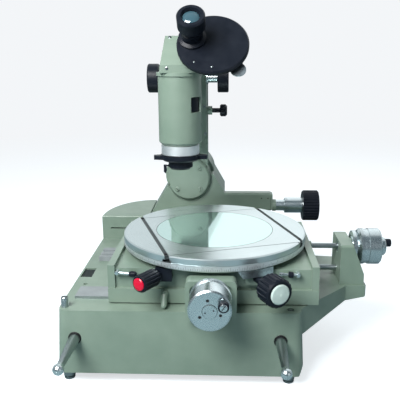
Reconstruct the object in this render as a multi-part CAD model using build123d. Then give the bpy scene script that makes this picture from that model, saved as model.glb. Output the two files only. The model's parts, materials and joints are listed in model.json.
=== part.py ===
from build123d import *
import math
import os

os.makedirs("parts", exist_ok=True)

# Millimetres, +Z up, the front faces -Y. The pieces are drawn with the optical axis at X = 0, Y = 0
# and the feet on Z = 0, and are saved with the origin at the middle of the whole outline.

# Driving dimensions
STAGE_DIA = 280.0
STAGE_X = 51.3
STAGE_TOP = 190.0
GLASS_DIA = 180.0
BASE_LEFT = -165.0
BASE_RIGHT = 175.0
BASE_FRONT = -134.7
BASE_BACK = 300.0
BASE_UNDER = 17.0
DECK = 111.0
TUBE_DIA = 63.5
PIVOT_Z = 228.0
DRUM_DIA = 55.5
HEAD_DIA = 101.0
HEAD_ANGLE = 40.0
MIDDLE_X = 77.75
MIDDLE_Y = 39.1

# Named clearances
RUN = 0.05
GAP = 0.5

# Heights of the two slides and the rotary stage
X_UNDER = DECK + 2.0
X_FLOOR = 134.0
X_RAIL_TOP = 168.5
Y_TOP = 163.0
GEAR_UNDER = 164.0
RIM_UNDER = 171.0
SLIDE_HALF = STAGE_DIA / 2 + 8.5
RAIL = 10.0
SLIDE_DEEP = 110.0

# Micrometers
MIC_X = 50.0
MIC_Z = 148.0
XMIC_Y = 4.0
XMIC_Z = 161.6
SPINDLE_R = 4.0

# Column and focusing
COLUMN_HALF = 35.0
CARRIER_TOP = 435.0
FOCUS_Y = 150.0
FOCUS_Z = 412.0
AXLE_R = 6.0
KNOB_RIGHT = 53.5
KNOB_LEFT = 46.7


def block(x0, x1, y0, y1, z0, z1):
    place = Pos((x0 + x1) / 2, (y0 + y1) / 2, (z0 + z1) / 2)
    return place * Box(x1 - x0, y1 - y0, z1 - z0)


def rod_x(x0, x1, y, z, r):
    return Pos((x0 + x1) / 2, y, z) * Rot(0, 90, 0) * Cylinder(r, x1 - x0)


def rod_y(y0, y1, x, z, r):
    return Pos(x, (y0 + y1) / 2, z) * Rot(90, 0, 0) * Cylinder(r, y1 - y0)


def rod_z(z0, z1, x, y, r):
    return Pos(x, y, (z0 + z1) / 2) * Cylinder(r, z1 - z0)


def turned(points):
    """Revolve (radius, height) points about Z."""
    outline = make_face(Plane.XZ * Polyline(*points, close=True))
    return revolve(outline, Axis.Z)


def prism_y(points, y0, y1):
    """Push an (x, z) outline along Y."""
    outline = make_face(Plane.XZ * Polyline(*points, close=True))
    return Pos(0, y0, 0) * extrude(outline, y1 - y0, dir=(0, 1, 0))


def prism_x(points, x0, x1):
    """Push a (y, z) outline along X."""
    outline = make_face(Plane.YZ * Polyline(*points, close=True))
    return Pos(x0, 0, 0) * extrude(outline, x1 - x0, dir=(1, 0, 0))


def prism_z(points, z0, z1):
    """Push an (x, y) outline along Z."""
    outline = make_face(Polyline(*points, close=True))
    return Pos(0, 0, z0) * extrude(outline, z1 - z0, dir=(0, 0, 1))


def scallops(radius, cut, count, length):
    """Cutters that leave ribs round a grip that lies along Z from zero."""
    cutter = Pos(radius, 0, length / 2) * Cylinder(cut, length + 2)
    return PolarLocations(0, count) * cutter


def grip(radius, length, count, cut):
    """A ribbed hand knob from zero up along Z with a rounded outer end."""
    body = turned([
        (0, 0), (radius - 2, 0), (radius, 2), (radius, length - 3), (radius - 3, length), (0, length)
    ])
    return body - scallops(radius + cut * 0.45, cut, count, length)


AIM_X = Rot(0, 90, 0)
AIM_MINUS_X = Rot(0, -90, 0)
AIM_FRONT = Rot(90, 0, 0)


# Base casting, one iron box with drafted walls, a wing for the X micrometer and the rod bosses

ROD_Z = 70.0
ROD_LEFT = -142.0
ROD_RIGHT = 146.0
ROD_R = 7.3
FOOT_FRONT_Y = -122.0
FOOT_LEFT_X = -157.0
FOOT_RIGHT_X = 160.0
FOOT_BACK_Y = 262.0
FOOT_R = 5.0
CONDENSER_R = 27.0


def drafted_box(inset, z0, z1):
    """The base outline lofted from its wide foot to its narrower deck."""
    grow = 5.0 * (DECK - z0) / (DECK - BASE_UNDER)
    taper = 5.0 * (DECK - z1) / (DECK - BASE_UNDER)
    wide = BASE_RIGHT - BASE_LEFT - 2 * inset
    deep = BASE_BACK - BASE_FRONT - 2 * inset
    centre_x = (BASE_LEFT + BASE_RIGHT) / 2
    centre_y = (BASE_FRONT + BASE_BACK) / 2
    corner = 13.0 if inset == 0 else 4.0
    low = Pos(centre_x, centre_y, z0) * RectangleRounded(wide + 2 * grow, deep + 2 * grow, corner)
    high = Pos(centre_x, centre_y, z1) * RectangleRounded(wide + 2 * taper, deep + 2 * taper, corner)
    return loft([low, high])


def make_base():
    body = drafted_box(0, BASE_UNDER, DECK)
    cavity = drafted_box(11, BASE_UNDER - 1, DECK - 13)
    body -= cavity
    # Relief along the foot of the right wall
    body -= prism_y([(166, 0), (200, 0), (200, 31), (179, 31)], -160, 320)
    wing = prism_z([
        (166, -128), (252, -36), (281, -36), (283, -32), (283, 66), (256, 92), (166, 104)
    ], DECK - 50, DECK)
    wing &= prism_y([(160, 66), (283, 94), (284, DECK), (160, DECK)], -140, 110)
    rib = prism_y([(160, 30), (176, 30), (262, DECK - 22), (160, DECK - 22)], 20, 34)
    body += wing + rib
    for x in (ROD_LEFT, ROD_RIGHT):
        body += rod_y(BASE_FRONT + 6, -20, x, ROD_Z, 13)
    for x in (FOOT_LEFT_X, FOOT_RIGHT_X):
        body += rod_z(BASE_UNDER + 8, DECK - 10, x, FOOT_FRONT_Y, 8.5)
        body += rod_z(BASE_UNDER + 8, DECK - 10, x, FOOT_BACK_Y, 8.5)
    for x in (ROD_LEFT, ROD_RIGHT):
        body -= rod_y(-150, 0, x, ROD_Z, ROD_R + RUN)
        body -= rod_y(-150, BASE_FRONT + 7, x, ROD_Z, 9.4)
    for x in (FOOT_LEFT_X, FOOT_RIGHT_X):
        for y in (FOOT_FRONT_Y, FOOT_BACK_Y):
            body -= rod_z(0, DECK + 1, x, y, FOOT_R + RUN)
    body -= rod_z(0, DECK + 1, 0, 0, CONDENSER_R)
    # Recess and hole of the left deck
    body -= block(-162, -144, -13, 25, DECK - 6, DECK + 1)
    body -= rod_z(DECK - 8, DECK + 1, -147, -41, 3.5)
    return body


def make_foot(x, y, top):
    screw = turned([
        (0, 3), (6, 3), (8.5, 5), (8.5, 11), (7.5, 13), (FOOT_R, 13), (FOOT_R, top - 1.5),
        (FOOT_R - 1.5, top), (0, top)
    ])
    pad = turned([(0, 0), (7.5, 0), (8, 1), (8, 3), (0, 3)])
    return Pos(x, y, 0) * (screw + pad)


def make_rear_feet():
    left = make_foot(FOOT_LEFT_X, FOOT_BACK_Y, DECK - 1)
    right = make_foot(FOOT_RIGHT_X, FOOT_BACK_Y, DECK - 1)
    return left + right


def make_carry_rod(x):
    """Tapered rod with a ball end that slides in the front wall."""
    r = ROD_R
    rod = turned([(0, 48), (r, 48), (r, 150), (4.9, 208), (4.9, 216), (0, 216)])
    return Pos(x, 0, ROD_Z) * AIM_FRONT * (rod + Pos(0, 0, 219.2) * Sphere(7.6))


def make_condenser_ring():
    ring = turned([
        (21, DECK - 16), (CONDENSER_R - RUN, DECK - 16), (CONDENSER_R - RUN, DECK), (31, DECK),
        (31, DECK + 1.2), (21, DECK + 1.2)
    ])
    return ring


# Ways on the deck and the X slide that runs on them

WAY_FRONT = -95.0
WAY_INSIDE = -59.0
WAY_LOW = 115.0
WAY_TOP = 119.0


def rear_way(grow):
    """Outline of the rear way, or of the room for it when grown."""
    return [(58 - grow, DECK - grow), (104 + grow, DECK - grow), (104 + grow, WAY_TOP + grow), (58 - grow, WAY_TOP + grow)]


def make_ways():
    front = block(-150, 168, WAY_FRONT, WAY_INSIDE, DECK, WAY_LOW)
    back = prism_x(rear_way(0), -147, 168)
    back -= block(-148, 169, 65, 73, WAY_TOP - 4, WAY_TOP + 1)
    back -= block(-148, 169, 82, 93, WAY_TOP - 4, WAY_TOP + 1)
    return front + back


ROD_REST_Y = XMIC_Y
ROD_REST_Z = X_FLOOR - 8.5
ROD_REST_R = 4.2
X_LEFT = STAGE_X - SLIDE_HALF
X_RIGHT = STAGE_X + SLIDE_HALF


def make_x_slide():
    body = block(X_LEFT, X_RIGHT, -SLIDE_DEEP, SLIDE_DEEP, X_UNDER, X_FLOOR)
    side = SLIDE_DEEP - 2
    body += block(X_LEFT, X_LEFT + RAIL, -side, side, X_FLOOR, X_RAIL_TOP)
    body += block(X_RIGHT - RAIL, X_RIGHT, -side, side, X_FLOOR, X_RAIL_TOP)
    body -= block(X_LEFT - 1, X_RIGHT + 1, WAY_FRONT - RUN, WAY_INSIDE + 1, DECK, WAY_LOW)
    body -= prism_x(rear_way(GAP), X_LEFT - 1, X_RIGHT + 1)
    body -= block(-52, 155, -34, 34, DECK, X_FLOOR + 1)
    body -= rod_x(X_RIGHT - 36, X_RIGHT + 1, ROD_REST_Y, ROD_REST_Z, ROD_REST_R + GAP)
    # Hardened anvil seat for the micrometer spindle
    return body + rod_x(X_RIGHT, X_RIGHT + 3, XMIC_Y, XMIC_Z, 7)


# Y slide between the rails, with the pivot bore of the rotary stage

SPIGOT_R = 96.0
CLEAR_R = 88.0
Y_HALF = SPIGOT_R + 8.0
GEAR_R = SPIGOT_R + 11.0
PINION_ANGLE = -62.4
CLAMP_ANGLE = -122.5
PINION_Z = 154.5
CLAMP_Z = 159.0
HOLDER_FRONT = -Y_HALF - 14.0
CLAMP_AT = HOLDER_FRONT / math.sin(math.radians(CLAMP_ANGLE)) + 6.1


def radial(angle, distance, z):
    """Z-up pieces laid down so that they point outward from the stage centre."""
    a = math.radians(angle)
    place = Pos(STAGE_X + distance * math.cos(a), distance * math.sin(a), z)
    return place * Rot(0, 0, angle) * Rot(0, 90, 0)


def make_y_slide():
    left = X_LEFT + RAIL + RUN
    right = X_RIGHT - RAIL - RUN
    body = block(left, right, -Y_HALF, Y_HALF, X_FLOOR, Y_TOP)
    body -= rod_z(X_FLOOR - 1, Y_TOP + 1, STAGE_X, 0, CLEAR_R)
    body -= rod_z(Y_TOP - 12, Y_TOP + 1, STAGE_X, 0, SPIGOT_R + RUN)
    # Pocket for the pinion, open to the front
    return body - radial(PINION_ANGLE, SPIGOT_R + 18, PINION_Z) * Cylinder(10, 30)


def holder_x(angle):
    """Where a shaft at an angle to the stage passes through its bracket."""
    return STAGE_X - (Y_HALF + 7) / math.tan(math.radians(angle))


def pinion_block():
    x = holder_x(PINION_ANGLE)
    return block(x - 12.5, x + 13.5, HOLDER_FRONT, -Y_HALF, PINION_Z - 9, PINION_Z + 10.5)


def make_pinion_bracket():
    return pinion_block() - radial(PINION_ANGLE, Y_HALF + 21, PINION_Z) * Cylinder(5 + RUN, 60)


def make_stage_knob():
    """The ribbed knob on its shaft, whose pinion drives the toothed ring from below."""
    knob = radial(PINION_ANGLE, 164, PINION_Z) * grip(20.5, 27, 20, 2.4)
    inner = SPIGOT_R + 4
    shaft = radial(PINION_ANGLE, (inner + 170) / 2, PINION_Z) * Cylinder(5, 170 - inner)
    pinion = radial(PINION_ANGLE, inner + 5, PINION_Z) * Cylinder(GEAR_UNDER - PINION_Z - 0.1, 10)
    return knob + shaft + pinion


def make_stage_knob_cap():
    cap = turned([(0, 0), (13.8, 0), (13.8, 1), (12.2, 2.2), (0, 2.8)])
    return radial(PINION_ANGLE, 191, PINION_Z) * cap


def make_vernier():
    """Fixed arc under the rim with the vernier lines, carried by the pinion bracket."""
    half = STAGE_DIA / 2
    body = rod_z(PINION_Z + 5.5, RIM_UNDER - GAP, STAGE_X, 0, half - 0.5)
    body -= rod_z(PINION_Z, RIM_UNDER, STAGE_X, 0, half - 14)
    a0 = math.radians(-76)
    a1 = math.radians(-53)
    body &= prism_z([
        (STAGE_X, 0), (STAGE_X + 160 * math.cos(a0), 160 * math.sin(a0)),
        (STAGE_X + 160 * math.cos(a1), 160 * math.sin(a1))
    ], PINION_Z, RIM_UNDER)
    body -= prism_y([(80, 150), (93, 150), (93, 160.5), (86, RIM_UNDER), (80, RIM_UNDER)], -150, 0)
    body -= block(STAGE_X, X_RIGHT, -Y_HALF, 0, PINION_Z, Y_TOP)
    return body - pinion_block()


def make_clamp_bracket():
    x = holder_x(CLAMP_ANGLE)
    body = block(x - 9, x + 14, HOLDER_FRONT, -Y_HALF, CLAMP_Z - 10, CLAMP_Z + 9)
    return body - radial(CLAMP_ANGLE, CLAMP_AT - 16, CLAMP_Z) * Cylinder(4 + RUN, 60)


def make_clamp_handle():
    body = turned([
        (0, -3), (6.5, -3), (6.5, 0), (11.2, 1.5), (12.3, 4), (12.3, 33), (11, 35), (0, 35)
    ])
    body -= scallops(12.9, 1.5, 16, 80)
    screw = radial(CLAMP_ANGLE, CLAMP_AT - 9.5, CLAMP_Z) * Cylinder(4, 20)
    return radial(CLAMP_ANGLE, CLAMP_AT, CLAMP_Z) * body + screw


def make_clamp_cap():
    cap = turned([(0, 0), (8.9, 0), (8.9, 1), (7.6, 2), (0, 2.4)])
    return radial(CLAMP_ANGLE, CLAMP_AT + 35, CLAMP_Z) * cap


# Rotary stage, its T-slots and the glass

SLOT_ANGLE = 18.3
SLOT_LEFT = -98.2
SLOT_RIGHT = 104.1
GROOVE_FRONT = -99.3
GROOVE_BACK = 86.2


def make_stage():
    half = STAGE_DIA / 2
    glass = GLASS_DIA / 2
    body = turned([
        (CLEAR_R - 4, STAGE_TOP - 6), (glass + RUN, STAGE_TOP - 6), (glass + RUN, STAGE_TOP),
        (half - 2, STAGE_TOP), (half, STAGE_TOP - 1.5), (half, STAGE_TOP - 9), (half - 1.2, STAGE_TOP - 9),
        (half - 1.2, STAGE_TOP - 10), (half, STAGE_TOP - 10), (half, RIM_UNDER + 2), (half - 2, RIM_UNDER),
        (CLEAR_R - 4, RIM_UNDER)
    ])
    cuts = []
    for offset in (SLOT_LEFT, SLOT_RIGHT):
        cuts.append(Pos(offset, 0, STAGE_TOP - 3) * Box(5.6, 300, 8))
        cuts.append(Pos(offset, 0, STAGE_TOP - 8) * Box(10, 300, 4))
    for offset in (GROOVE_FRONT, GROOVE_BACK):
        cuts.append(Pos(3, offset, STAGE_TOP) * Box(196, 1.4, 2))
    for cut in cuts:
        body -= Rot(0, 0, SLOT_ANGLE) * cut
    return Pos(STAGE_X, 0, 0) * body


def make_gear():
    """The toothed ring with the pivot spigot that turns in the Y slide."""
    ring = turned([
        (CLEAR_R - 4, RIM_UNDER), (GEAR_R, RIM_UNDER), (GEAR_R, GEAR_UNDER), (SPIGOT_R, GEAR_UNDER),
        (SPIGOT_R, Y_TOP - 12), (CLEAR_R + 2, Y_TOP - 12), (CLEAR_R - 4, Y_TOP)
    ])
    notch = Pos(GEAR_R, 0, (GEAR_UNDER + RIM_UNDER) / 2) * Box(3, 3, 9)
    return Pos(STAGE_X, 0, 0) * (ring - [Rot(0, 0, 3 * i) * notch for i in range(120)])


def make_glass():
    return rod_z(STAGE_TOP - 6, STAGE_TOP, STAGE_X, 0, GLASS_DIA / 2)


# Y micrometer on the front of the X slide

BARREL_LONG = 42.0
DRUM_LONG = 44.0
Y_BARREL_AT = -150.0
Y_DRUM_AT = -165.0


def make_y_bracket():
    half = 34.5
    post = block(MIC_X - half, MIC_X + half, -154, -133, X_UNDER, 165)
    post = fillet(post.edges().filter_by(Axis.Y).group_by(Axis.Z)[-1], 7)
    post += block(MIC_X - half, MIC_X + half, -154, -139.5, 107, X_UNDER)
    recess = block(MIC_X - 28.5, MIC_X + 28.5, -155, Y_BARREL_AT, 100, 159)
    post -= fillet(recess.edges().filter_by(Axis.Y).group_by(Axis.Z)[-1], 8)
    foot = block(MIC_X - half, MIC_X + half, -140, -SLIDE_DEEP, X_UNDER, X_FLOOR - 4)
    body = post + foot - rod_y(-160, Y_BARREL_AT, MIC_X, MIC_Z, 15.5 + GAP)
    return body - rod_y(-160, -100, MIC_X, MIC_Z, 10)


def make_barrel(length):
    """Fixed micrometer barrel along Z from its flange, bored for the spindle."""
    return turned([
        (SPINDLE_R + RUN, -16), (10, -16), (10, 0), (15.5, 0), (15.5, 6), (14, 8), (14, length),
        (SPINDLE_R + RUN, length)
    ])


def make_drum(length):
    """Graduated drum along Z that turns on the barrel."""
    r = DRUM_DIA / 2
    body = turned([
        (14 + RUN, 0), (r - 3, 0), (r, 3), (r, 9), (r - 1.2, 9.6), (r - 1.2, 15), (r, 15.6), (r, length - 2),
        (r - 2, length), (9, length), (9, length + 1.5), (0, length + 1.5), (0, length - 6), (14 + RUN, length - 6)
    ])
    return body


def drum_holes(length):
    hole = Pos(14.6, 0, length) * Cylinder(2.1, 8)
    return [Rot(0, 0, angle) * hole for angle in (100, 213, -21)]


def make_crank():
    pin = turned([(0, 0), (3.4, 0), (3.4, 2), (6.8, 2), (7, 3), (7, 9), (6, 10), (0, 10)])
    return pin


def make_y_barrel():
    return Pos(MIC_X, Y_BARREL_AT, MIC_Z) * AIM_FRONT * make_barrel(BARREL_LONG)


def make_y_drum():
    drum = make_drum(DRUM_LONG) - drum_holes(DRUM_LONG)
    return Pos(MIC_X, Y_DRUM_AT, MIC_Z) * AIM_FRONT * drum


def make_y_crank():
    place = Pos(MIC_X + 17.3, Y_DRUM_AT - DRUM_LONG, MIC_Z + 9.5)
    return place * AIM_FRONT * make_crank()


def make_y_spindle():
    return rod_y(-176, -Y_HALF, MIC_X, MIC_Z, SPINDLE_R)


# X micrometer block on the wing, its barrel, drum, spindle and the rest rod

XBLOCK_LEFT = 243.0
XBLOCK_RIGHT = 262.0
XBLOCK_TOP = 174.0
X_DRUM_AT = 273.5
X_DRUM_LONG = 34.0


def make_x_block():
    toe = XBLOCK_RIGHT + 17.5
    body = prism_y([
        (XBLOCK_LEFT, DECK), (toe, DECK), (toe, DECK + 11), (XBLOCK_RIGHT, DECK + 19),
        (XBLOCK_RIGHT, XBLOCK_TOP), (XBLOCK_LEFT, XBLOCK_TOP)
    ], -32, 40)
    body = fillet(body.edges().filter_by(Axis.X).group_by(Axis.Z)[-1], 4)
    # Cheeks in front of and behind the drum
    cheek = [(XBLOCK_RIGHT - 1, DECK), (toe, DECK), (toe, DECK + 17), (XBLOCK_RIGHT + 1, XBLOCK_TOP - 4),
             (XBLOCK_RIGHT - 1, XBLOCK_TOP - 4)]
    body += prism_y(cheek, -32, -25.5) + prism_y(cheek, 33.5, 40)
    body += rod_x(XBLOCK_RIGHT - 1, XBLOCK_RIGHT + 2, XMIC_Y, XMIC_Z, 12)
    body -= rod_x(200, 300, XMIC_Y, XMIC_Z, 10)
    return body - rod_x(200, XBLOCK_RIGHT - 4, ROD_REST_Y, ROD_REST_Z, ROD_REST_R)


def make_x_barrel():
    barrel = turned([
        (SPINDLE_R + RUN, -20), (10, -20), (10, 0), (15, 0), (15, 1), (24, 1), (24, 6), (22, 9), (14, 9),
        (14, 34), (SPINDLE_R + RUN, 34)
    ])
    return Pos(XBLOCK_RIGHT + 2, XMIC_Y, XMIC_Z) * AIM_X * barrel


def make_x_drum():
    drum = make_drum(X_DRUM_LONG)
    drum += Pos(0, 0, X_DRUM_LONG) * turned([(0, 0), (14, 0), (14, 7), (12, 9), (0, 9)])
    return Pos(X_DRUM_AT, XMIC_Y, XMIC_Z) * AIM_X * drum


def make_x_crank():
    place = Pos(X_DRUM_AT + X_DRUM_LONG + 9, XMIC_Y, XMIC_Z + 5.5)
    return place * AIM_X * turned([(0, 0), (3, 0), (3, 1.5), (6.2, 1.5), (6.2, 8), (5.2, 9), (0, 9)])


def make_x_spindle():
    return rod_x(X_RIGHT + 3, X_DRUM_AT + 2, XMIC_Y, XMIC_Z, SPINDLE_R)


def make_rest_rod():
    return rod_x(X_RIGHT - 8, XBLOCK_RIGHT - 4, ROD_REST_Y, ROD_REST_Z, ROD_REST_R)


# Small levers and the slide clamp on the front

def make_lever(x, z, turn, arm):
    """An arm with a thick end on a short post that stands out from the front of the Y slide."""
    post = turned([(0, 0), (3.2, 0), (3.2, 9), (2.4, 10), (0, 10)])
    bar = Pos(0, 0, 6.5) * AIM_X * turned(arm)
    return Pos(x, -Y_HALF, z) * AIM_FRONT * Rot(0, 0, turn) * (post + bar)


LEFT_ARM = [(0, 0), (2.4, 0), (2.4, 17), (3, 17), (4.2, 20), (4.2, 25), (2.5, 28), (0, 28)]
RIGHT_ARM = [(0, 0), (1.8, 0), (1.8, 6), (4.2, 7), (4.2, 13), (1.8, 14), (1.8, 20), (2.8, 21), (2.8, 26), (0, 26)]


def make_peg():
    """Clamp screw of the X slide with a stubby handle that leans to the front."""
    head = turned([(0, 0), (5.2, 0), (5.2, 5), (4.4, 6), (0, 6)])
    arm = Rot(-40, 0, 0) * Pos(0, 0, -8) * Cylinder(4.2, 16)
    tip = Rot(-40, 0, 0) * Pos(0, 0, -16) * Sphere(4.2)
    return Pos(-16.5, -SLIDE_DEEP, 128.5) * (AIM_FRONT * head + Pos(0, -6, 0) * (arm + tip))


# Rear housing and the flared stand of the column

HOUSING_LEFT = -164.5
HOUSING_RIGHT = -74.5
HOUSING_FRONT = 176.0
HOUSING_BACK = 296.0
HOUSING_TOP = 157.0


def housing_outline(grow, z0, z1):
    """Flat-topped housing with a long curve at its back left corner."""
    x = HOUSING_RIGHT - grow
    y = HOUSING_FRONT + 4 + grow
    wide = HOUSING_RIGHT - HOUSING_LEFT - 2 * grow
    deep = HOUSING_BACK - y - grow
    curve = EllipticalCenterArc((x, y), wide, deep, start_angle=90, arc_size=90)
    low = HOUSING_FRONT + grow
    rest = Polyline(curve @ 1, (x - wide, low), (x, low), curve @ 0)
    return Pos(0, 0, z0) * extrude(make_face([curve, rest]), z1 - z0, dir=(0, 0, 1))


def make_housing():
    body = housing_outline(0, DECK, HOUSING_TOP)
    body = fillet(body.edges().group_by(Axis.Z)[-1], 3)
    body -= housing_outline(8, DECK - 1, HOUSING_TOP - 8)
    return body - block(-149, -120, HOUSING_FRONT - 5, HOUSING_FRONT + 9, 131.5, 134)


FLARE_FRONT = 186.0
STAND_FRONT = 216.0
BOSS_R = 40.5
STAND_BACK = 284.0
SHAFT_R = 20.0


def stand_outline():
    return [
        (-74, DECK), (-71, 161), (-37.6, 217.6), (-34, 224), (-34, 236), (44.5, 236), (46.2, 234),
        (66, 199.5), (66, DECK)
    ]


def make_stand():
    body = prism_y(stand_outline(), FLARE_FRONT, STAND_BACK)
    body += block(-62, 66, 178, FLARE_FRONT, DECK, 165)
    # Room for the boss of the tilting column in front of the bearing
    body -= rod_y(FLARE_FRONT - 1, STAND_FRONT, 0, PIVOT_Z, BOSS_R + GAP)
    body += rod_y(STAND_FRONT, STAND_BACK, 0, PIVOT_Z, 46)
    body -= rod_y(STAND_FRONT - 1, STAND_BACK + 1, 0, PIVOT_Z, SHAFT_R + RUN)
    # The casting is open behind, below the pivot bearing
    body -= prism_y([(-58, DECK - 1), (-52, 150), (-40, 172), (46, 172), (56, DECK - 1)], 232, STAND_BACK + 1)
    return body


def make_pivot_shaft():
    shaft = rod_y(205, STAND_BACK + 4, 0, PIVOT_Z, SHAFT_R)
    cap = rod_y(STAND_BACK + 4, STAND_BACK + 9, 0, PIVOT_Z, 26)
    return shaft + cap


COLUMN_FRONT = 184.0
COVER_R = 39.4


def make_column():
    boss = rod_y(COLUMN_FRONT, STAND_FRONT - RUN, 0, PIVOT_Z, BOSS_R)
    boss -= block(-60, -36.5, COLUMN_FRONT - 1, STAND_FRONT, 160, PIVOT_Z + 15)
    web = prism_y([
        (-COLUMN_HALF, PIVOT_Z + 20), (-COLUMN_HALF, 424), (-28, 432), (28, 432),
        (COLUMN_HALF, 424), (COLUMN_HALF, PIVOT_Z + 20)
    ], COLUMN_FRONT, STAND_FRONT - RUN)
    back = prism_x([
        (STAND_FRONT - 1, 282), (236, 300), (244, 330), (240, 424), (STAND_FRONT - 1, 432)
    ], -26, 26)
    way = dovetail(0)
    body = boss + web + back + way
    return body - rod_y(204, STAND_FRONT + 1, 0, PIVOT_Z, SHAFT_R)


DOVE_FRONT = 171.0


def dovetail(grow):
    """Upright dovetail way on the front of the column, or its groove when grown."""
    front = DOVE_FRONT - grow
    outline = [
        (-17 - grow, COLUMN_FRONT), (-24 - grow, front), (24 + grow, front), (17 + grow, COLUMN_FRONT)
    ]
    return prism_z(outline, 282, 430)


def make_pivot_cover():
    cover = turned([(0, 0), (COVER_R, 0), (COVER_R, 4), (COVER_R - 3, 7), (0, 7)])
    cover -= Pos(-COVER_R - 16.5, 0, 3) * Box(40, 100, 10)
    return Pos(0, COLUMN_FRONT, PIVOT_Z) * AIM_FRONT * cover


def make_cover_screws():
    screws = Part()
    for angle in (46, -41, 222):
        screw = turned([(0, 0), (4.6, 0), (4.6, 1.4), (3.8, 2), (0, 2)])
        place = Pos(0, COLUMN_FRONT - 7, PIVOT_Z) * AIM_FRONT * Rot(0, 0, angle) * Pos(28.5, 0, 0)
        screws += place * screw
    return screws


# Tilt drive on the right of the stand

TILT_Y = 196.0
TILT_Z = 174.2
TILT_DRUM_AT = 178.1
TILT_KNOB_AT = 211.5
TILT_BORE = 24.0


def make_tilt_arm():
    body = prism_y([
        (66, 165.5), (66, 199.5), (150, 199.5), (155.5, 196.5), (155.5, 168.5), (151, 165.5)
    ], FLARE_FRONT, 206)
    body = fillet(body.edges().filter_by(Axis.X), 4)
    body += rod_x(155.5, 162, TILT_Y, TILT_Z, 11)
    return body - rod_x(110, 165, TILT_Y, TILT_Z, 6 + RUN)


def make_tilt_sleeve():
    sleeve = rod_x(162, TILT_DRUM_AT - 0.1, TILT_Y, TILT_Z, 10.2)
    return sleeve - rod_x(160, 181, TILT_Y, TILT_Z, 6 + RUN)


def make_tilt_drum():
    """The graduated drum and the shaft that it is fixed to."""
    long = TILT_KNOB_AT - TILT_DRUM_AT
    drum = turned([(0, 0), (13.4, 0), (14.2, 1), (14.2, long), (0, long)])
    shaft = rod_x(120, TILT_KNOB_AT + TILT_BORE, TILT_Y, TILT_Z, 6)
    return Pos(TILT_DRUM_AT, TILT_Y, TILT_Z) * AIM_X * drum + shaft


def make_tilt_knob():
    knob = turned([
        (6, 0), (26.5, 0), (28.2, 2), (28.2, 27), (26.5, 29), (12, 29.6), (0, 29.6), (0, TILT_BORE), (6, TILT_BORE)
    ])
    knob -= scallops(29.3, 2.3, 32, 60)
    return Pos(TILT_KNOB_AT, TILT_Y, TILT_Z) * AIM_X * knob


# Focusing carrier with the arm and tube

CARRIER_FRONT = 134.0
CARRIER_HALF = 34.0
CARRIER_LOW = 302.0
SKIRT_TOP = 332.0
CLAMP_AT_Z = 356.0
CLAMP_AT_Y = 158.0


def make_carrier():
    body = prism_z([
        (-CARRIER_HALF, COLUMN_FRONT - 1.5), (-CARRIER_HALF, CARRIER_FRONT + 8),
        (-CARRIER_HALF + 8, CARRIER_FRONT), (CARRIER_HALF - 8, CARRIER_FRONT),
        (CARRIER_HALF, CARRIER_FRONT + 8), (CARRIER_HALF, COLUMN_FRONT - 1.5)
    ], CARRIER_LOW, CARRIER_TOP)
    # Below the arm the carrier is thinner, so that it passes in front of the pivot cover
    body -= block(-40, 40, 174, 190, CARRIER_LOW - 1, SKIRT_TOP)
    for side in (-1, 1):
        body -= prism_y([(side * 24, CARRIER_LOW - 1), (side * 36, CARRIER_LOW - 1), (side * 36, 316)], 130, 180)
    body -= Pos(0, 0, 60) * dovetail(RUN)
    body -= dovetail(RUN)
    body -= block(-11, 11, 160, DOVE_FRONT + 1, CARRIER_LOW - 1, CARRIER_TOP + 1)
    body -= rod_x(-12, 12, FOCUS_Y, FOCUS_Z, 12)
    body -= rod_x(-60, 60, FOCUS_Y, FOCUS_Z, AXLE_R + RUN)
    body += rod_x(CARRIER_HALF, 44, CLAMP_AT_Y, CLAMP_AT_Z, 7.5)
    return body - rod_x(20, 45, CLAMP_AT_Y, CLAMP_AT_Z, 4 + RUN)


def make_rack():
    body = block(-8, 8, 163.5, DOVE_FRONT, 300, 428)
    notch = Pos(0, 163, 0) * Rot(45, 0, 0) * Box(30, 2.6, 2.6)
    steps = [Pos(0, 0, 303 + 4.0 * i) for i in range(31)]
    return body - [step * notch for step in steps]


def make_focus_axle():
    axle = rod_x(-KNOB_LEFT - 16, KNOB_RIGHT + 16, FOCUS_Y, FOCUS_Z, AXLE_R)
    pinion = rod_x(-9, 9, FOCUS_Y, FOCUS_Z, 11.5)
    tooth = Pos(0, 11.5, 0) * Rot(45, 0, 0) * Box(30, 2.0, 2.0)
    centre = Pos(0, FOCUS_Y, FOCUS_Z)
    pinion -= [centre * Rot(20 * i, 0, 0) * tooth for i in range(18)]
    return axle + pinion


def focus_grip():
    return turned([
        (AXLE_R, 0), (22.9, 0), (24.4, 1.5), (24.4, 17.5), (22.9, 19), (0, 19), (0, 16), (AXLE_R, 16)
    ])


def make_focus_knobs():
    right = Pos(KNOB_RIGHT, FOCUS_Y, FOCUS_Z) * AIM_X * focus_grip()
    left = Pos(-KNOB_LEFT, FOCUS_Y, FOCUS_Z) * AIM_MINUS_X * focus_grip()
    return right + left


def focus_hub(long):
    return turned([
        (AXLE_R + RUN, 0), (11, 0), (11, 3), (7.8, 4), (7.8, long), (AXLE_R + RUN, long)
    ])


def make_focus_hubs():
    right = Pos(CARRIER_HALF, FOCUS_Y, FOCUS_Z) * AIM_X * focus_hub(KNOB_RIGHT - CARRIER_HALF - GAP)
    left = Pos(-CARRIER_HALF, FOCUS_Y, FOCUS_Z) * AIM_MINUS_X * focus_hub(KNOB_LEFT - CARRIER_HALF - GAP)
    return right + left


def make_focus_clamp():
    screw = rod_x(20.5, 62, CLAMP_AT_Y, CLAMP_AT_Z, 4)
    head = Pos(57.5, CLAMP_AT_Y, CLAMP_AT_Z) * AIM_X * grip(10.5, 12.5, 12, 1.8)
    return screw + head


TUBE_R = TUBE_DIA / 2
TUBE_LOW = 323.5
WHEEL_R = 29.0
TUBE_TOP = 424.0
BORE_R = 26.0
WHEEL_Z = 383.0


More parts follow.
